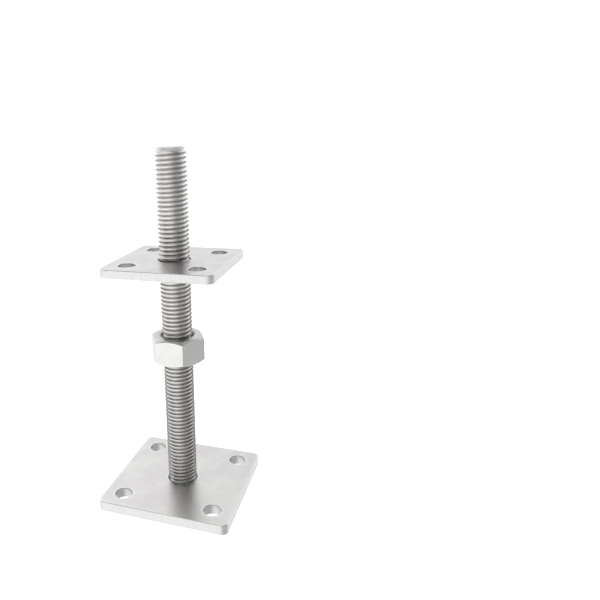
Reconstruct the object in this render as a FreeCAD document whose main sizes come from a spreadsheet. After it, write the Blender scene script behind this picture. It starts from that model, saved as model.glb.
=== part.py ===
import FreeCAD, Part
import os
import Sketcher

# Adjustable post base: a square base plate with a threaded rod welded into it, a hexagon nut that
# sets the height, and a smaller square plate that slides on the rod and carries the post.
# Millimetres, +Z up, origin at the middle of the base plate's underside.

SIZES = {
    # base plate
    "base_side": 100,
    "base_thickness": 8,
    "base_corner_radius": 5,
    "base_hole_dia": 13,
    "base_hole_inset": 15,
    # threaded rod, over the crests of its thread
    "rod_dia": 22,
    "rod_rise": 250,
    "rod_end_dia": 17,
    "rod_end_taper": 3.5,
    "rod_hole_gap": 0.5,
    # weld in a bevel under the base plate
    "weld_size": 4,
    "weld_setback": 0.4,
    # hexagon nut
    "nut_flats": 35.5,
    "nut_height": 19.5,
    "nut_face_dia": 34,
    "nut_chamfer_angle": 30,
    "nut_bore_gap": 0.3,
    "nut_countersink": 0.7,
    "nut_rise": 100,
    # top plate
    "top_side": 80,
    "top_thickness": 6,
    "top_corner_radius": 5,
    "top_hole_dia": 12,
    "top_hole_inset": 15,
    "top_rod_hole_bevel": 0.5,
    "top_rise": 49.8,
    # broken edges round both plates
    "edge_break": 0.4,
}

ROD_RADIUS = "sizes.rod_dia / 2"
ROD_TOP = "sizes.base_thickness + sizes.rod_rise"
ROD_HOLE_DIA = "sizes.rod_dia + 2 * sizes.rod_hole_gap"
NUT_CORNER_RADIUS = "sizes.nut_flats / sqrt(3)"
NUT_FOOT = "sizes.base_thickness + sizes.nut_rise"
ON_AXIS = 1e-9

doc = FreeCAD.newDocument("adjustable_post_base")
sheet = doc.addObject("Spreadsheet::Sheet", "sizes")
for row, (alias, value) in enumerate(SIZES.items(), start=1):
    sheet.set(f"A{row}", alias)
    sheet.set(f"B{row}", str(value))
    sheet.setAlias(f"B{row}", alias)
doc.recompute()


def present(formula):
    """What a formula comes to now, as a sketch's first guess before its constraints hold."""
    return float(sheet.evalExpression(formula))


def new_body(name, height="0"):
    """A body whose own origin stands at this height above the base plate's underside."""
    body = doc.addObject("PartDesign::Body", name)
    body.Label = name
    body.setExpression("Placement.Base.z", height)
    return body


def new_sketch(body, name, role):
    plane = next(feature for feature in body.Origin.OriginFeatures if feature.Role == role)
    sketch = body.newObject("Sketcher::SketchObject", name)
    sketch.AttachmentSupport = [(plane, "")]
    sketch.MapMode = "FlatFace"
    return sketch


def tie_point(sketch, geometry, end, across, up):
    """Tie a point of the sketch to its origin, by two formulas."""
    axes = (("DistanceX", across, -2), ("DistanceY", up, -1))
    for kind, formula, axis in axes:
        value = present(formula)
        if abs(value) < ON_AXIS:
            sketch.addConstraint(Sketcher.Constraint("PointOnObject", geometry, end, axis))
        else:
            index = sketch.addConstraint(Sketcher.Constraint(kind, -1, 1, geometry, end, value))
            sketch.setExpression(f"Constraints[{index}]", formula)


def draw_outline(sketch, points):
    """A closed outline of straight lines, each corner given as two formulas."""
    count = len(points)
    corners = [FreeCAD.Vector(present(across), present(up), 0) for across, up in points]
    for k in range(count):
        sketch.addGeometry(Part.LineSegment(corners[k], corners[(k + 1) % count]))
    for k in range(count):
        sketch.addConstraint(Sketcher.Constraint("Coincident", k, 2, (k + 1) % count, 1))
    for k, (across, up) in enumerate(points):
        tie_point(sketch, k, 1, across, up)


def draw_circle(sketch, diameter, across="0", up="0"):
    middle = FreeCAD.Vector(present(across), present(up), 0)
    circle = Part.Circle(middle, FreeCAD.Vector(0, 0, 1), present(diameter) / 2)
    geometry = sketch.addGeometry(circle)
    index = sketch.addConstraint(Sketcher.Constraint("Diameter", geometry, present(diameter)))
    sketch.setExpression(f"Constraints[{index}]", diameter)
    tie_point(sketch, geometry, 3, across, up)


def turned(body, name, feature_type, points):
    """A section beside the Z axis, turned all the way round it."""
    sketch = new_sketch(body, name + "_section", "XZ_Plane")
    draw_outline(sketch, points)
    feature = body.newObject(feature_type, name)
    feature.Profile = sketch
    feature.ReferenceAxis = (sketch, ["V_Axis"])
    feature.Angle = 360
    doc.recompute()
    return feature


def through_hole(body, name, diameter, across="0", up="0"):
    """A round hole along Z, right through the body on both sides of its own XY plane."""
    sketch = new_sketch(body, name + "_circle", "XY_Plane")
    draw_circle(sketch, diameter, across, up)
    hole = body.newObject("PartDesign::Pocket", name)
    hole.Profile = sketch
    hole.Type = "ThroughAll"
    hole.SideType = "Symmetric"
    doc.recompute()
    return hole


def dressed(body, name, feature_type, base, elements, setting, formula):
    """A fillet or chamfer on the named edges or faces of the feature below it."""
    feature = body.newObject(feature_type, name)
    feature.Base = (base, elements)
    feature.setExpression(setting, formula)
    doc.recompute()
    return feature


def upright_edges(shape):
    names = []
    for number, edge in enumerate(shape.Edges, start=1):
        if edge.tangentAt(edge.FirstParameter).cross(FreeCAD.Vector(0, 0, 1)).Length < ON_AXIS:
            names.append(f"Edge{number}")
    return names


def level_faces(shape):
    names = []
    for number, face in enumerate(shape.Faces, start=1):
        if abs(abs(face.normalAt(0, 0).z) - 1) < ON_AXIS:
            names.append(f"Face{number}")
    return names


def round_edges(shape, diameter, below=None):
    """The full circles of this diameter round the Z axis, or only those below a height."""
    names = []
    for number, edge in enumerate(shape.Edges, start=1):
        if not isinstance(edge.Curve, Part.Circle) or not edge.isClosed():
            continue
        centre = edge.Curve.Center
        on_axis = FreeCAD.Vector(centre.x, centre.y, 0).Length < ON_AXIS
        same_size = abs(2 * edge.Curve.Radius - diameter) < ON_AXIS
        if on_axis and same_size and (below is None or centre.z < below):
            names.append(f"Edge{number}")
    return names


def square_plate(name, piece, height="0"):
    """A flat square plate with rounded corners, broken edges and a middle hole for the rod."""
    body = new_body(name, height)
    outline = new_sketch(body, piece + "_outline", "XY_Plane")
    half = f"sizes.{piece}_side / 2"
    draw_outline(outline, [("-" + half, "-" + half), (half, "-" + half), (half, half), ("-" + half, half)])
    slab = body.newObject("PartDesign::Pad", piece + "_slab")
    slab.Profile = outline
    slab.setExpression("Length", f"sizes.{piece}_thickness")
    doc.recompute()
    corners = dressed(body, piece + "_corners", "PartDesign::Fillet", slab, upright_edges(slab.Shape),
                      "Radius", f"sizes.{piece}_corner_radius")
    dressed(body, piece + "_edges", "PartDesign::Chamfer", corners, level_faces(corners.Shape),
            "Size", "sizes.edge_break")
    rod_hole = through_hole(body, piece + "_rod_hole", ROD_HOLE_DIA)
    return body, rod_hole


def four_holes(body, piece):
    """One bolt hole near a corner, and its three copies round the rod."""
    place = f"sizes.{piece}_side / 2 - sizes.{piece}_hole_inset"
    hole = through_hole(body, piece + "_bolt_hole", f"sizes.{piece}_hole_dia", place, place)
    copies = body.newObject("PartDesign::PolarPattern", piece + "_bolt_holes")
    copies.Originals = [hole]
    copies.Axis = (hole.Profile[0], ["N_Axis"])
    copies.Angle = 360
    copies.Occurrences = 4
    body.Tip = copies
    doc.recompute()


def base_plate():
    """The plate that is bolted to the ground, bevelled below round the rod for the weld."""
    body, rod_hole = square_plate("base_plate", "base")
    lower_rim = round_edges(rod_hole.Shape, present(ROD_HOLE_DIA), below=present("sizes.base_thickness / 2"))
    dressed(body, "weld_bevel", "PartDesign::Chamfer", rod_hole, lower_rim, "Size", "sizes.weld_size")
    four_holes(body, "base")
    return body


def threaded_rod():
    """The rod over its thread's crests, tapered at its upper end and set back under the plate."""
    body = new_body("threaded_rod")
    shoulder = ROD_TOP + " - sizes.rod_end_taper"
    turned(body, "rod", "PartDesign::Revolution", [
        ("0", "sizes.weld_setback"),
        (ROD_RADIUS, "sizes.weld_setback"),
        (ROD_RADIUS, shoulder),
        ("sizes.rod_end_dia / 2", ROD_TOP),
        ("0", ROD_TOP),
    ])
    return body


def rod_weld():
    """The ring of weld metal that fills the bevel between the rod and the base plate."""
    body = new_body("rod_weld")
    hole_radius = f"({ROD_HOLE_DIA}) / 2"
    turned(body, "weld", "PartDesign::Revolution", [
        (ROD_RADIUS, "sizes.weld_setback"),
        (f"{hole_radius} + sizes.weld_size - sizes.weld_setback", "sizes.weld_setback"),
        (hole_radius, "sizes.weld_size"),
        (ROD_RADIUS, "sizes.weld_size"),
    ])
    return body


def height_nut():
    """The hexagon nut, a corner on the X axis, chamfered and countersunk at both ends."""
    body = new_body("height_nut", NUT_FOOT + " + sizes.nut_height / 2")
    outline = new_sketch(body, "nut_outline", "XY_Plane")
    turns = range(0, 360, 60)
    draw_outline(outline, [(f"{NUT_CORNER_RADIUS} * cos({turn})", f"{NUT_CORNER_RADIUS} * sin({turn})")
                           for turn in turns])
    hexagon = body.newObject("PartDesign::Pad", "nut_hexagon")
    hexagon.Profile = outline
    hexagon.SideType = "Symmetric"
    hexagon.setExpression("Length", "sizes.nut_height")
    doc.recompute()

    face_radius = "sizes.nut_face_dia / 2"
    past_corner = "sizes.nut_flats"
    top = "sizes.nut_height / 2"
    drop = f"({past_corner} - {face_radius}) * tan(sizes.nut_chamfer_angle)"
    chamfer = turned(body, "nut_chamfer", "PartDesign::Groove", [
        (face_radius, top),
        (past_corner, f"{top} - {drop}"),
        (past_corner, top),
    ])
    both_ends = body.newObject("PartDesign::Mirrored", "nut_chamfers")
    both_ends.Originals = [chamfer]
    both_ends.MirrorPlane = (outline, [""])
    body.Tip = both_ends
    doc.recompute()

    bore_dia = "sizes.rod_dia + 2 * sizes.nut_bore_gap"
    bore = through_hole(body, "nut_bore", bore_dia)
    dressed(body, "nut_countersinks", "PartDesign::Chamfer", bore,
            round_edges(bore.Shape, present(bore_dia)), "Size", "sizes.nut_countersink")
    return body


def top_plate():
    """The plate that the post stands on, its middle hole bevelled where it slides on the rod."""
    body, rod_hole = square_plate("top_plate", "top", NUT_FOOT + " + sizes.nut_height + sizes.top_rise")
    rims = round_edges(rod_hole.Shape, present(ROD_HOLE_DIA))
    dressed(body, "top_rod_hole_bevels", "PartDesign::Chamfer", rod_hole, rims,
            "Size", "sizes.top_rod_hole_bevel")
    four_holes(body, "top")
    return body


subparts = [base_plate(), threaded_rod(), rod_weld(), height_nut(), top_plate()]
doc.recompute()

failed = [item.Name for item in doc.Objects if "Invalid" in item.State or "Error" in item.State]
if failed:
    raise RuntimeError(f"these objects failed to build: {failed}")
for body in subparts:
    if body.Shape.isNull() or not body.Shape.isValid() or len(body.Shape.Solids) != 1:
        raise RuntimeError(f"{body.Label} is not one valid solid")

os.makedirs("parts", exist_ok=True)
for body in subparts:
    body.Shape.exportStep(f"parts/{body.Label}.step")
    box = body.Shape.BoundBox
    print(f"{body.Label}: {body.Shape.Volume:.1f} mm3, z {box.ZMin:.2f} to {box.ZMax:.2f}")
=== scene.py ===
from math import atan2, cos, pi, radians, sin, tan

import bmesh
import bpy
from mathutils import Matrix, Vector


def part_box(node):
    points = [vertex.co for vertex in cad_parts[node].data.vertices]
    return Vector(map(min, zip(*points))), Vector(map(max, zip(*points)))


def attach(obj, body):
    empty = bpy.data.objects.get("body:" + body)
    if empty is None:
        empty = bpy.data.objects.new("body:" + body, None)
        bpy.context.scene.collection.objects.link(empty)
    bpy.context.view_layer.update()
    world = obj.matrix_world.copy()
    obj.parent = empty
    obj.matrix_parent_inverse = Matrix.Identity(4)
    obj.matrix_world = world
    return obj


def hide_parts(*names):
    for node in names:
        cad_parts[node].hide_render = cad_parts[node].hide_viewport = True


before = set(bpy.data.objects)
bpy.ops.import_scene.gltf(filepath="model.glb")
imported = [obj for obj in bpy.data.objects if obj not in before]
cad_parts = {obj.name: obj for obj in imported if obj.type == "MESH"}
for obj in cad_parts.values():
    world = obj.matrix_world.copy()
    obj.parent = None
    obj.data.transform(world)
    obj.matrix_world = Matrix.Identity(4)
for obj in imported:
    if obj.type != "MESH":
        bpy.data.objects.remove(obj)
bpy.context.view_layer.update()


# Base plate: a 100 mm square of 8 mm rolled steel, cut out with rounded corners and drilled for
# four ground bolts. Its middle hole takes the rod and is bevelled underneath for the weld.
# The whole is zinc plated to a satin grey, with hairline scratches from stacking.

BASE_CORNER = 0.005
BASE_BOLT_HOLE = 0.013
BASE_HOLE_INSET = 0.015
BASE_EDGE = 0.0005
ROD_HOLE = 0.023
ROD_HOLE_EDGE = 0.0002
WELD_BEVEL = 0.004
RUBBED_BAND = 0.0018
ZINC_CLOUDS = 55
ZINC_GRAIN = 1400
ZINC_WEAR = 260
ETCHED = 0.35
SCORED = 0.5


def rounded_square(side, corner, steps=10):
    """Points round a square with rounded corners, each with the direction out of the metal."""
    ring = []
    reach = side / 2 - corner
    for quarter, (across, up) in enumerate(((1, 1), (-1, 1), (-1, -1), (1, -1))):
        for step in range(steps + 1):
            turn = (quarter + step / steps) * pi / 2
            facing = Vector((cos(turn), sin(turn)))
            ring.append((Vector((across * reach, up * reach)) + facing * corner, facing))
    return ring


def drilled(diameter, across=0.0, up=0.0, steps=72):
    """Points round a hole, each with the direction out of the metal, which is into the hole."""
    ring = []
    for step in range(steps):
        facing = Vector((cos(2 * pi * step / steps), sin(2 * pi * step / steps)))
        ring.append((Vector((across, up)) + facing * diameter / 2, -facing))
    return ring


def broken_edge(radius, steps=4):
    """The section over a rounded edge: how far in from the side and how far down from the face."""
    section = [(radius + RUBBED_BAND, 0.0)]
    for step in range(steps + 1):
        turn = pi / 2 * step / steps
        section.append((radius * (1 - sin(turn)), radius * (1 - cos(turn))))
    return section


def marked(shape, *layers):
    """Layers of a mesh that tell its finish where a tool or a hand has been, and where shade is
    painted.
    """
    return [shape.verts.layers.float.new(layer) for layer in layers]


def cut_plate(name, low, high, rims):
    """A flat plate from its outline, which comes first, and its holes.

    Each rim is a ring with its upper and its lower edge section. Layers of the mesh tell where
    handling has left wear on the edges, where the outline was cut and where a hole was drilled.
    """
    shape = bmesh.new()
    rubbed_and_painted_shade, cut, drilled_out = marked(shape, "rubbed_and_painted_shade", "cut", "drilled")
    face_edges = {"upper": [], "lower": []}
    for rim, (ring, upper_edge, lower_edge) in enumerate(rims):
        section = [(inward, high - down) for inward, down in upper_edge]
        section += [(inward, low + rise) for inward, rise in reversed(lower_edge)]
        walls = (len(upper_edge) - 1, len(upper_edge))
        loops = []
        for number, (inward, height) in enumerate(section):
            loop = [shape.verts.new((*(point - facing * inward), height)) for point, facing in ring]
            for corner in loop:
                corner[rubbed_and_painted_shade] = 0.0 if number in (0, len(section) - 1) else 1.0
                corner[drilled_out if rim else cut] = 1.0 if number in walls else 0.0
            loops.append(loop)
        count = len(ring)
        for one, two in zip(loops, loops[1:]):
            for k in range(count):
                shape.faces.new((one[k], one[(k + 1) % count], two[(k + 1) % count], two[k]))
        for side, loop in (("upper", loops[0]), ("lower", loops[-1])):
            pairs = zip(loop, loop[1:] + loop[:1])
            face_edges[side] += [shape.edges.get(pair) for pair in pairs]
    for edges in face_edges.values():
        bmesh.ops.triangle_fill(shape, use_beauty=True, edges=edges)
    bmesh.ops.recalc_face_normals(shape, faces=shape.faces)
    return shown_piece(name, shape)


def shown_piece(name, shape):
    """A smooth-shaded object from a finished shape, flat faces kept flat between rounded edges."""
    for face in shape.faces:
        face.smooth = True
    mesh = bpy.data.meshes.new(name)
    shape.to_mesh(mesh)
    shape.free()
    piece = bpy.data.objects.new(name, mesh)
    bpy.context.scene.collection.objects.link(piece)
    flat_faces = piece.modifiers.new("flat_faces", "WEIGHTED_NORMAL")
    flat_faces.mode = "FACE_AREA"
    flat_faces.weight = 100
    flat_faces.keep_sharp = True
    return piece


def fitted(tree, kind, inputs, **settings):
    """A node in a finish, with its settings and what goes into it.

    An input takes a number, a colour or what another node gives out.
    """
    node = tree.nodes.new("ShaderNode" + kind)
    for setting, value in settings.items():
        setattr(node, setting, value)
    for socket, value in inputs.items():
        if isinstance(value, bpy.types.NodeSocket):
            tree.links.new(value, node.inputs[socket])
        else:
            node.inputs[socket].default_value = value
    return node


def on_the_piece(finish):
    """Places on the piece, in metres."""
    return fitted(finish.node_tree, "TexCoord", {}).outputs["Object"]


def on_the_layer(finish, layer):
    """What a layer of the mesh says."""
    return fitted(finish.node_tree, "Attribute", {}, attribute_name=layer).outputs["Fac"]


def cloudy(tree, place, scale, detail):
    """Soft patches of noise at so many to the metre."""
    inputs = {"Vector": place, "Scale": scale, "Detail": detail, "Roughness": 0.55}
    return fitted(tree, "TexNoise", inputs).outputs["Fac"]


def ranged(tree, value, low, high, to_low, to_high):
    """Values between two limits, stretched to two others."""
    inputs = {"Value": value, "From Min": low, "From Max": high,
              "To Min": to_low, "To Max": to_high}
    return fitted(tree, "MapRange", inputs, interpolation_type="SMOOTHSTEP").outputs["Result"]


def reckoned(tree, operation, one, two):
    """Two values added, subtracted or multiplied."""
    return fitted(tree, "Math", {0: one, 1: two}, operation=operation).outputs["Value"]


def tinted(tree, under, tone, share):
    """A tone over the colour underneath it, by its share."""
    inputs = {"A": under, "B": (*tone, 1), "Factor": share}
    return fitted(tree, "Mix", inputs, data_type="RGBA").outputs["Result"]


def so_far(finish, socket):
    """What a finish has on one socket of its surface up to now."""
    surface = finish.node_tree.nodes["Principled BSDF"]
    return surface.inputs[socket].links[0].from_socket


def laid_on(finish, coats):
    """Puts new coats on the sockets of a finish's surface."""
    surface = finish.node_tree.nodes["Principled BSDF"]
    for socket, coat in coats.items():
        finish.node_tree.links.new(coat, surface.inputs[socket])


def zinc_plated(name, dull, bright, satin, gloss, grain_depth, rubbed_and_painted_shade, rubbed_gloss=0.0):
    """Satin zinc over steel: cloudy tone, a fine etched grain, and a second tone on marked places.

    The second tone is wear from use on the plates and the nut, and painted shade and highlight on
    the rod's thread and the weld's ripples.
    """
    finish = bpy.data.materials.new(name)
    finish.use_nodes = True
    tree = finish.node_tree
    tree.nodes["Principled BSDF"].inputs["Metallic"].default_value = 1.0
    place = on_the_piece(finish)
    clouds = ranged(tree, cloudy(tree, place, ZINC_CLOUDS, 4), 0.35, 0.65, 0, 1)
    grain = cloudy(tree, place, ZINC_GRAIN, 3)
    handled_and_painted_shade = on_the_layer(finish, "rubbed_and_painted_shade")
    uneven = ranged(tree, cloudy(tree, place, ZINC_WEAR, 3), 0.3, 0.6, 0.85, 1)
    worn_and_painted_shade = reckoned(tree, "MULTIPLY", handled_and_painted_shade, uneven)
    tone = tinted(tree, (*dull, 1), bright, clouds)
    satin_grain = ranged(tree, grain, 0.3, 0.7, gloss, satin)
    polish = ranged(tree, handled_and_painted_shade, 0, 1, 0, rubbed_gloss)
    relief = {"Strength": ETCHED, "Distance": grain_depth, "Height": grain}
    laid_on(finish, {"Base Color": tinted(tree, tone, rubbed_and_painted_shade, worn_and_painted_shade),
                     "Roughness": reckoned(tree, "SUBTRACT", satin_grain, polish),
                     "Normal": fitted(tree, "Bump", relief).outputs["Normal"]})
    return finish


def streaks(finish, stretch, scale):
    """Noise drawn out into lines: the stretch is small along the lines and one across them."""
    tree = finish.node_tree
    inputs = {0: on_the_piece(finish), 1: stretch}
    drawn_out = fitted(tree, "VectorMath", inputs, operation="MULTIPLY")
    return cloudy(tree, drawn_out.outputs["Vector"], scale, 4)


def toolmarks_and_shade(finish, layer, marks, tone, least, depth, dull):
    """Lines that a tool left on the faces that a layer of the mesh names, over the finish there.

    On the nut the same marks also lay painted shade in and round the bore. Between the lines the
    tone takes only its least share.
    """
    tree = finish.node_tree
    shares = ranged(tree, marks, 0.3, 0.7, least, 1)
    lines = reckoned(tree, "MULTIPLY", on_the_layer(finish, layer), shares)
    duller = ranged(tree, lines, 0, 1, 0, dull)
    relief = {"Strength": SCORED, "Distance": depth, "Height": lines,
              "Normal": so_far(finish, "Normal")}
    laid_on(finish, {"Base Color": tinted(tree, so_far(finish, "Base Color"), tone, lines),
                     "Roughness": reckoned(tree, "ADD", so_far(finish, "Roughness"), duller),
                     "Normal": fitted(tree, "Bump", relief).outputs["Normal"]})


def scratched(finish, headings, scale, length, tone):
    """Hairline scratches from handling, so many times longer than wide, at some headings.

    They are sparse, because only the peaks of the noise show.
    """
    tree = finish.node_tree
    for heading in headings:
        inputs = {"Vector": on_the_piece(finish), "Rotation": (0, 0, radians(heading)),
                  "Scale": (length, 1, 1)}
        drawn_out = fitted(tree, "Mapping", inputs, vector_type="TEXTURE").outputs["Vector"]
        hairlines = ranged(tree, cloudy(tree, drawn_out, scale, 4), 0.66, 0.74, 0, 0.6)
        laid_on(finish, {"Base Color": tinted(tree, so_far(finish, "Base Color"), tone, hairlines)})


base_low, base_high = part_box("base_plate")
base_side = base_high.x - base_low.x
base_reach = base_side / 2 - BASE_HOLE_INSET
base_edge = broken_edge(BASE_EDGE)
weld_bevel = [(WELD_BEVEL + RUBBED_BAND, 0.0), (WELD_BEVEL, 0.0), (0.0, WELD_BEVEL)]
base_rims = [(rounded_square(base_side, BASE_CORNER), base_edge, base_edge),
             (drilled(ROD_HOLE), broken_edge(ROD_HOLE_EDGE), weld_bevel)]
base_rims += [(drilled(BASE_BOLT_HOLE, across, up), base_edge, base_edge)
              for across in (-base_reach, base_reach) for up in (-base_reach, base_reach)]
base_plate = cut_plate("ground_plate", base_low.z, base_high.z, base_rims)
plate_zinc = zinc_plated("plate_zinc", dull=(0.712, 0.692, 0.70), bright=(0.772, 0.767, 0.75),
                         satin=0.38, gloss=0.30, grain_depth=0.00003,
                         rubbed_and_painted_shade=(0.80, 0.80, 0.795), rubbed_gloss=0.06)
scratched(plate_zinc, headings=(8, 63, 97, 141), scale=900, length=45, tone=(0.60, 0.59, 0.585))
toolmarks_and_shade(plate_zinc, "cut", streaks(plate_zinc, stretch=(1, 1, 0.15), scale=700),
          tone=(0.74, 0.74, 0.73), least=0.0, depth=0.00006, dull=0.06)
toolmarks_and_shade(plate_zinc, "drilled", streaks(plate_zinc, stretch=(0.05, 0.05, 1), scale=2600),
          tone=(0.66, 0.655, 0.65), least=0.7, depth=0.00004, dull=0.0)
base_plate.data.materials.append(plate_zinc)
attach(base_plate, "base")
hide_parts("base_plate")


# Threaded rod: a steel bar with a coarse right-hand thread rolled along its whole length, 3 mm a
# turn, and a short taper turned on its upper end to start the nut. It stands in the base plate's
# middle hole and is zinc plated.

THREAD_PITCH = 0.003
THREAD_DEPTH = 0.0017
# How far along a turn from the crest, and how much of the depth stands there.
THREAD_FLANK = ((0.0, 1.0), (0.035, 0.97), (0.08, 0.86), (0.18, 0.56),
                (0.30, 0.20), (0.37, 0.06), (0.43, 0.01), (0.5, 0.0))
FIRST_CREST = 0.0016
SPARE_TURNS = 2
# Where the painted shade on a turn is full and how far it reaches, and from how high up the bar it
# lightens, over what span and by how much.
PAINTED_SHADE_MIDDLE = 0.14
PAINTED_SHADE_REACH = 0.26
SHADE_LIGHTENS_FROM = 0.6
SHADE_LIGHTENING_FADE = 0.25
SHADE_LIGHTENED_BY = 0.12
ROD_END = 0.017
ROD_TAPER = 0.0035
ROD_STEPS = 64
SAME_PLACE = 1e-7
CUT_SQUARE = 0.99
LATHE_RINGS = 900


def thread_section(crest):
    """One turn of the rolled thread: heights over a crest, distances from the axis, and painted
    shade.

    The upper flanks and the crests take a dark painted shade that draws the thread's lines.
    """
    root = crest - THREAD_DEPTH
    upper = [(along, root + (crest - root) * share) for along, share in THREAD_FLANK]
    lower = [(-along, reach) for along, reach in reversed(upper[1:-1])]
    section = []
    for along, reach in upper + lower:
        worn_and_painted_shade = max(0.0, cos(pi / 2 * min(abs(along - PAINTED_SHADE_MIDDLE) / PAINTED_SHADE_REACH, 1.0)))
        section.append((THREAD_PITCH * (along % 1.0), reach, worn_and_painted_shade))
    return section


def threaded_bar(name, low, high, crest):
    """A bar with a helical thread, tapered at its upper end and cut off square at both.

    The painted shade on its crests and upper flanks is lighter on its higher part.
    """
    section = thread_section(crest)
    turns = int((high - low) / THREAD_PITCH) + 2 * SPARE_TURNS
    rows = [(low - SPARE_TURNS * THREAD_PITCH + turn * THREAD_PITCH + rise, reach, worn_and_painted_shade)
            for turn in range(turns) for rise, reach, worn_and_painted_shade in section]
    shape = bmesh.new()
    rubbed_and_painted_shade, turned_down = marked(shape, "rubbed_and_painted_shade", "turned")
    grid = []
    for step in range(ROD_STEPS):
        turn = 2 * pi * step / ROD_STEPS
        lift = FIRST_CREST + THREAD_PITCH * step / ROD_STEPS
        heights = [height + lift for height, _, _ in rows]
        column = []
        for number, (_, reach, worn_and_painted_shade) in enumerate(rows):
            height = heights[number]
            if height < low:
                reach = reach if heights[number + 1] > low else 0.0
            if height > high:
                reach = reach if heights[number - 1] < high else 0.0
            height = min(max(height, low), high)
            turned = ROD_END / 2 + (high - height) * (crest - ROD_END / 2) / ROD_TAPER
            out = min(reach, turned)
            point = shape.verts.new((out * cos(turn), out * sin(turn), height))
            # Painted shade on the crests and upper flanks, lighter on the bar's higher part.
            above = (height - low) / (high - low) - SHADE_LIGHTENS_FROM
            lightened = min(max(above, 0.0) / SHADE_LIGHTENING_FADE, 1.0)
            point[rubbed_and_painted_shade] = worn_and_painted_shade * (1 - SHADE_LIGHTENED_BY * lightened) if reach < turned else 0.0
            point[turned_down] = 0.0 if reach < turned else 1.0
            column.append(point)
        grid.append(column)
    for step in range(ROD_STEPS):
        one, two = grid[step], grid[(step + 1) % ROD_STEPS]
        ahead = len(section) if step == ROD_STEPS - 1 else 0
        for k in range(len(rows) - 1 - ahead):
            shape.faces.new((one[k], two[k + ahead], two[k + 1 + ahead], one[k + 1]))
    bmesh.ops.remove_doubles(shape, verts=shape.verts, dist=SAME_PLACE)
    bmesh.ops.dissolve_degenerate(shape, edges=shape.edges, dist=SAME_PLACE)
    bmesh.ops.recalc_face_normals(shape, faces=shape.faces)
    for edge in shape.edges:
        edge.smooth = sum(abs(face.normal.z) > CUT_SQUARE for face in edge.link_faces) != 1
    for face in shape.faces:
        if face.normal.z < -CUT_SQUARE:
            for corner in face.verts:
                corner[turned_down] = 1.0
    return shown_piece(name, shape)


def turned_rings(finish):
    """Fine rings about the upright axis, as a lathe leaves them."""
    inputs = {"Vector": on_the_piece(finish), "Scale": LATHE_RINGS, "Distortion": 1.5, "Detail": 2}
    rings = fitted(finish.node_tree, "TexWave", inputs, wave_type="RINGS", rings_direction="Z")
    return rings.outputs["Fac"]


rod_low, rod_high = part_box("threaded_rod")
rod_radius = rod_high.x
rod = threaded_bar("threaded_bar", rod_low.z, rod_high.z, rod_radius)
# Its near-black second tone is painted shade on the thread's crests and upper flanks.
rod_zinc = zinc_plated("rod_zinc", dull=(0.92, 0.905, 0.89), bright=(0.96, 0.945, 0.93),
                       satin=0.24, gloss=0.16, grain_depth=0.000008, rubbed_and_painted_shade=(0.16, 0.155, 0.15))
toolmarks_and_shade(rod_zinc, "turned", turned_rings(rod_zinc),
          tone=(0.98, 0.97, 0.96), least=0.7, depth=0.00003, dull=0.45)
rod.data.materials.append(rod_zinc)
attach(rod, "base")
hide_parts("threaded_rod")


# Weld: one run of weld metal that fills the bevel under the base plate and holds the rod. Each
# time the welder's hand moved on, the pool froze in a ripple. It stays above the plate's
# underside, so that the plate stands flat.

WELD_RIPPLES = 34
WELD_CROWN = 0.0012
RIPPLE_STEPS = 10
RIPPLE_LAG = 0.35
RIPPLE_HEIGHT = 0.4


def weld_ring(name, inner, outer, toe, root, steps=8):
    """A ring of overlapping ripples between the rod and the bevel's mouth, bulging downwards.

    Its ripples' crests are painted lighter and its furrows darker: painted highlight and shade of
    the relief.
    """
    shape = bmesh.new()
    (rubbed_and_painted_shade,) = marked(shape, "rubbed_and_painted_shade")
    around = WELD_RIPPLES * RIPPLE_STEPS
    loops = []
    for step in range(around):
        turn = 2 * pi * step / around
        along = (WELD_RIPPLES * turn / (2 * pi)) % 1.0
        loop = []
        for number in range(steps + 1):
            across = number / steps
            swing = RIPPLE_LAG * sin(pi * across)
            ripple = abs(sin(pi * (along + swing)))
            bulge = sin(pi * across) * (1 - RIPPLE_HEIGHT + RIPPLE_HEIGHT * ripple)
            reach = inner + (outer - inner) * across
            height = toe - WELD_CROWN * bulge
            loop.append(shape.verts.new((reach * cos(turn), reach * sin(turn), height)))
            # Each ripple's crest takes a painted highlight, and its furrow painted shade.
            loop[-1][rubbed_and_painted_shade] = ripple
        for reach in (outer - (root - toe), inner):
            loop.append(shape.verts.new((reach * cos(turn), reach * sin(turn), root)))
        loops.append(loop)
    count = len(loops[0])
    for one, two in zip(loops, loops[1:] + loops[:1]):
        for k in range(count):
            shape.faces.new((one[k], two[k], two[(k + 1) % count], one[(k + 1) % count]))
    bmesh.ops.recalc_face_normals(shape, faces=shape.faces)
    return shown_piece(name, shape)


weld_low, weld_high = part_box("rod_weld")
weld = weld_ring("weld_run", rod_radius - THREAD_DEPTH, weld_high.x, weld_low.z + WELD_CROWN,
                 weld_high.z)
# Its light second tone is a painted highlight on the ripples' crests.
weld_zinc = zinc_plated("weld_zinc", dull=(0.30, 0.285, 0.27), bright=(0.42, 0.405, 0.39),
                        satin=0.46, gloss=0.32, grain_depth=0.00008, rubbed_and_painted_shade=(0.70, 0.69, 0.68))
weld.data.materials.append(weld_zinc)
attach(weld, "base")
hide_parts("rod_weld")


# Height nut: a hexagon nut forged hot from steel, its two faces turned to 30 degree chamfers, its
# bore countersunk at both ends and tapped. It is zinc plated, with painted shade in the bore and
# round its mouth. It screws up and down the rod, and the top plate comes to rest on it.

NUT_FLATS = 0.0355
NUT_FACE = 0.034
NUT_CHAMFER = 30
NUT_CORNER = 0.0006
NUT_CORNER_ARC = (-30, -18, -6, 6, 18, 30)
NUT_SIDE_STEPS = 14
NUT_BORE = 0.0226
NUT_COUNTERSINK = 0.0007
NUT_GROOVE_DEPTH = 0.0006
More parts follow.
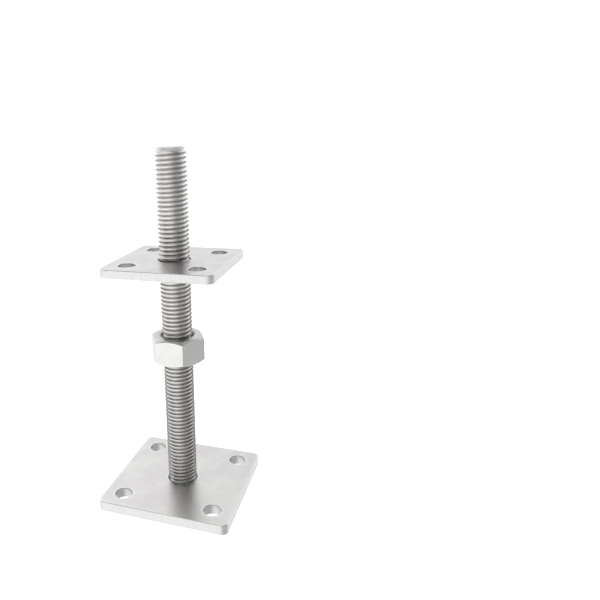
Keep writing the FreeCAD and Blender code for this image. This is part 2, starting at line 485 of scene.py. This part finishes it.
# How far along a turn, and how much of the groove's depth is cut there.
NUT_THREAD = ((0.0, 0.0), (0.32, 0.0), (0.64, 0.0), (0.755, 1.0), (0.885, 1.0))
NUT_EDGE = 0.00018
NUT_SHADED_RING = 0.0018
NUT_SHADED_FACE = 0.64
NUT_RUBBED_BAND = 0.0008
NUT_RUBBED_CHAMFER = 0.3


def hexagon(flats, corner):
    """Points round a hexagon with a corner on the X axis and slightly rounded corners."""
    points = []
    middle = (flats / 2 - corner) / cos(pi / 6)
    for side in range(6):
        heading = side * pi / 3
        following = heading + pi / 3
        arc = []
        for angle in NUT_CORNER_ARC:
            turn = heading + radians(angle)
            arc.append(Vector((middle * cos(heading) + corner * cos(turn),
                               middle * sin(heading) + corner * sin(turn))))
        after = Vector((middle * cos(following) + corner * cos(heading + pi / 6),
                        middle * sin(following) + corner * sin(heading + pi / 6)))
        points += arc
        points += [arc[-1].lerp(after, step / NUT_SIDE_STEPS) for step in range(1, NUT_SIDE_STEPS)]
    return points


def tapped_bore(shape, outline, loops, bore_shade):
    """The bore's wall between its rims, which end the loops, with a tap's right-hand grooves."""
    top, bottom = loops[0][0].co.z - NUT_EDGE, loops[0][-1].co.z + NUT_EDGE
    turns = int((top - bottom) / THREAD_PITCH) + 2 * SPARE_TURNS
    start = atan2(outline[0].y, outline[0].x)
    columns = []
    for point, loop in zip(outline, loops):
        around = (atan2(point.y, point.x) - start) / (2 * pi) % 1.0
        column = []
        for turn in range(turns):
            for share, depth in NUT_THREAD:
                height = bottom + THREAD_PITCH * (turn - SPARE_TURNS + share + around)
                if bottom < height < top:
                    reach = NUT_BORE / 2 + NUT_GROOVE_DEPTH * depth
                    column.append(shape.verts.new((*(point.normalized() * reach), height)))
                    # The bore's wall takes the full painted shade.
                    column[-1][bore_shade] = 1.0
                else:
                    column.append(loop[0] if height >= top else loop[-1])
        columns.append(column)
    columns.append(columns[0][len(NUT_THREAD):])
    for one, two in zip(columns, columns[1:]):
        for k in range(len(two) - 1):
            corners = list(dict.fromkeys((one[k], two[k], two[k + 1], one[k + 1])))
            if len(corners) > 2:
                shape.faces.new(corners)


def hexagon_nut(name, low, high):
    """A nut as rows of points from the bore, over the upper face and the sides, to the bore again.

    A point has its distance from the axis, its depth under the nearer face, and three marks: how
    far it was turned, how much painted shade it takes in and round the bore, and how much wear it
    shows.
    """
    shape = bmesh.new()
    turned, bore_shade, rubbed_and_painted_shade = marked(shape, "turned", "bore_shade", "rubbed_and_painted_shade")
    slope = tan(radians(NUT_CHAMFER))
    mouth = NUT_BORE / 2 + NUT_COUNTERSINK
    outline = hexagon(NUT_FLATS, NUT_CORNER)
    loops = []
    for point in outline:
        reach = point.length
        drop = (reach - NUT_FACE / 2) * slope
        # Marks: turned, painted shade in and round the bore, and wear.
        half = [(NUT_BORE / 2, NUT_COUNTERSINK, (0, 1, 0)),
                (mouth - NUT_EDGE, NUT_EDGE, (0, 1, 0)),
                (mouth + NUT_EDGE, 0.0, (1, NUT_SHADED_FACE, 0)),
                (mouth + NUT_SHADED_RING, 0.0, (1, 0, 0)),
                (NUT_FACE / 2 - NUT_EDGE, 0.0, (1, 0, 0)),
                (NUT_FACE / 2 + NUT_EDGE, NUT_EDGE * slope, (1, 0, NUT_RUBBED_CHAMFER)),
                (reach - NUT_EDGE, drop - NUT_EDGE * slope, (1, 0, 1)),
                (reach, drop + NUT_EDGE, (0, 0, 1)),
                (reach, drop + NUT_EDGE + NUT_RUBBED_BAND, (0, 0, 0))]
        section = [(out, high - down, marks) for out, down, marks in half]
        section += [(out, low + down, marks) for out, down, marks in reversed(half)]
        heading = point / reach
        loop = []
        for out, height, marks in section:
            loop.append(shape.verts.new((*(heading * out), height)))
            loop[-1][turned], loop[-1][bore_shade], loop[-1][rubbed_and_painted_shade] = marks
        loops.append(loop)
    for one, two in zip(loops, loops[1:] + loops[:1]):
        for k in range(len(one) - 1):
            shape.faces.new((one[k], two[k], two[k + 1], one[k + 1]))
    tapped_bore(shape, outline, loops, bore_shade)
    bmesh.ops.recalc_face_normals(shape, faces=shape.faces)
    return shown_piece(name, shape)


nut_low, nut_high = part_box("height_nut")
nut = hexagon_nut("hexagon_nut", nut_low.z, nut_high.z)
nut_zinc = zinc_plated("nut_zinc", dull=(0.775, 0.765, 0.75), bright=(0.82, 0.815, 0.80),
                       satin=0.30, gloss=0.20, grain_depth=0.00003, rubbed_and_painted_shade=(0.86, 0.855, 0.845))
toolmarks_and_shade(nut_zinc, "turned", turned_rings(nut_zinc),
          tone=(0.60, 0.60, 0.595), least=0.7, depth=0.00003, dull=0.04)
# Near-black painted shade in the bore and in a ring round its mouth on both faces.
toolmarks_and_shade(nut_zinc, "bore_shade", streaks(nut_zinc, stretch=(1, 1, 1), scale=700),
          tone=(0.05, 0.048, 0.045), least=0.7, depth=0.00001, dull=0.12)
nut.data.materials.append(nut_zinc)
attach(nut, "nut")
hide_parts("height_nut")


# Top plate: an 80 mm square of 6 mm steel, cut and plated like the base plate, with four screw
# holes for the post. Its middle hole is bevelled on both sides and slides freely on the rod, so
# it drops onto the nut under the post.

TOP_CORNER = 0.005
TOP_SCREW_HOLE = 0.012
TOP_HOLE_INSET = 0.015
TOP_BEVEL = 0.0005

top_low, top_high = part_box("top_plate")
top_side = top_high.x - top_low.x
top_reach = top_side / 2 - TOP_HOLE_INSET
rod_bevel = [(TOP_BEVEL + RUBBED_BAND, 0.0), (TOP_BEVEL, 0.0), (0.0, TOP_BEVEL)]
top_rims = [(rounded_square(top_side, TOP_CORNER), base_edge, base_edge),
            (drilled(ROD_HOLE), rod_bevel, rod_bevel)]
top_rims += [(drilled(TOP_SCREW_HOLE, across, up), base_edge, base_edge)
             for across in (-top_reach, top_reach) for up in (-top_reach, top_reach)]
top_plate = cut_plate("post_plate", top_low.z, top_high.z, top_rims)
top_plate.data.materials.append(plate_zinc)
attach(top_plate, "plate")
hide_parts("top_plate")


# Studio floor and backdrop: a wide sheet of pale matt card that the base plate stands on, and a
# dome of white paper all round it. The metal mirrors neither of them, only the lit room.

FLOOR_RADIUS = 6.0
FLOOR_GAP = 0.0001
BACKDROP_RADIUS = 5.0


def stage_piece(name, shape, colour, glow):
    """A plain matt sheet of the studio, which the metal doesn't mirror."""
    mesh = bpy.data.meshes.new(name)
    shape.to_mesh(mesh)
    shape.free()
    piece = bpy.data.objects.new(name, mesh)
    piece.visible_glossy = False
    bpy.context.scene.collection.objects.link(piece)
    sheet = bpy.data.materials.new(name)
    sheet.use_nodes = True
    surface = sheet.node_tree.nodes["Principled BSDF"]
    surface.inputs["Base Color"].default_value = (*colour, 1)
    surface.inputs["Roughness"].default_value = 0.9
    surface.inputs["Specular IOR Level"].default_value = 0.1
    surface.inputs["Emission Color"].default_value = (1, 1, 1, 1)
    surface.inputs["Emission Strength"].default_value = glow
    mesh.materials.append(sheet)
    return piece


floor_shape = bmesh.new()
bmesh.ops.create_circle(floor_shape, cap_ends=True, radius=FLOOR_RADIUS, segments=96)
floor = stage_piece("studio_floor", floor_shape, colour=(0.92, 0.92, 0.92), glow=0.8)
floor.location.z = -FLOOR_GAP
backdrop_shape = bmesh.new()
bmesh.ops.create_uvsphere(backdrop_shape, u_segments=64, v_segments=32, radius=BACKDROP_RADIUS)
backdrop = stage_piece("studio_backdrop", backdrop_shape, colour=(0.0, 0.0, 0.0), glow=1.0)
backdrop.visible_diffuse = False
backdrop.visible_shadow = False


# Studio light: a white room with a bright floor and horizon, a dark ceiling on the camera's side
# with a lamp box in it, and dim walls on the right and left. The dark ceiling draws the thread's
# lines, and the right wall shades that side of the nut.

ROOM = 1.0
# Each patch: its heading and its height in degrees, how far round them it is full and where it
# ends, and how much lighter or darker it is than the room.
ROOM_PATCHES = (
    (-5, -20, 24, 62, -0.45),   # dim wall on the right
    (-60, 65, 50, 66, -0.85),   # dark ceiling on the camera's side
    (-80, 70, 16, 42, 0.46),    # lamp box in the dark ceiling
    (105, 82, 10, 30, 0.30),    # lamp overhead
    (-68, -36, 8, 32, -0.22),   # shaded floor below the camera
    (-115, -12, 20, 60, 0.14),  # lit floor at the front left
    (150, 42, 10, 42, 0.20),    # lit wall at the back left
    (92, 34, 6, 30, -0.08),     # slightly shaded wall at the back
    (-150, 30, 14, 36, -0.35),  # dim wall on the left
)

room = bpy.data.worlds.new("white_room")
bpy.context.scene.world = room
room.use_nodes = True
room_tree = room.node_tree
toward = fitted(room_tree, "TexCoord", {}).outputs["Generated"]
glow = ROOM
for heading, height, inner, outer, change in ROOM_PATCHES:
    level = cos(radians(height))
    middle = (level * cos(radians(heading)), level * sin(radians(heading)), sin(radians(height)))
    facing = fitted(room_tree, "VectorMath", {0: toward, 1: middle}, operation="DOT_PRODUCT")
    share = ranged(room_tree, facing.outputs["Value"],
                   cos(radians(outer)), cos(radians(inner)), 0, change)
    glow = reckoned(room_tree, "ADD", share, glow)
room_light = room_tree.nodes["Background"]
room_light.inputs["Color"].default_value = (1, 1, 1, 1)
room_tree.links.new(glow, room_light.inputs["Strength"])


# Camera: above and to the right of the front, at the height and distance that give the
# photograph's perspective. Its film is shifted to bring the object to its place in the picture.

PICTURE = 600
FOCAL_PIXELS = 602.30
CENTRE_X, CENTRE_Y = 174.62, 324.0
FILM_WIDTH = 36
CAMERA_PLACE = (0.147766, -0.383053, 0.277623)
CAMERA_TURN, CAMERA_DIP, CAMERA_ROLL = 0.3724, 0.3339, -0.0404

camera = bpy.data.cameras.new("camera")
camera.sensor_fit = "HORIZONTAL"
camera.sensor_width = FILM_WIDTH
camera.lens = FILM_WIDTH * FOCAL_PIXELS / PICTURE
camera.shift_x = 0.5 - CENTRE_X / PICTURE
camera.shift_y = CENTRE_Y / PICTURE - 0.5
camera.clip_start = 0.01
camera.clip_end = 50
camera_stand = bpy.data.objects.new("camera", camera)
aim = (Matrix.Rotation(CAMERA_TURN, 4, "Z") @ Matrix.Rotation(pi / 2 - CAMERA_DIP, 4, "X")
       @ Matrix.Rotation(CAMERA_ROLL, 4, "Z"))
camera_stand.matrix_world = Matrix.Translation(CAMERA_PLACE) @ aim
bpy.context.scene.collection.objects.link(camera_stand)
bpy.context.scene.camera = camera_stand
bpy.context.scene.view_settings.view_transform = "Standard"
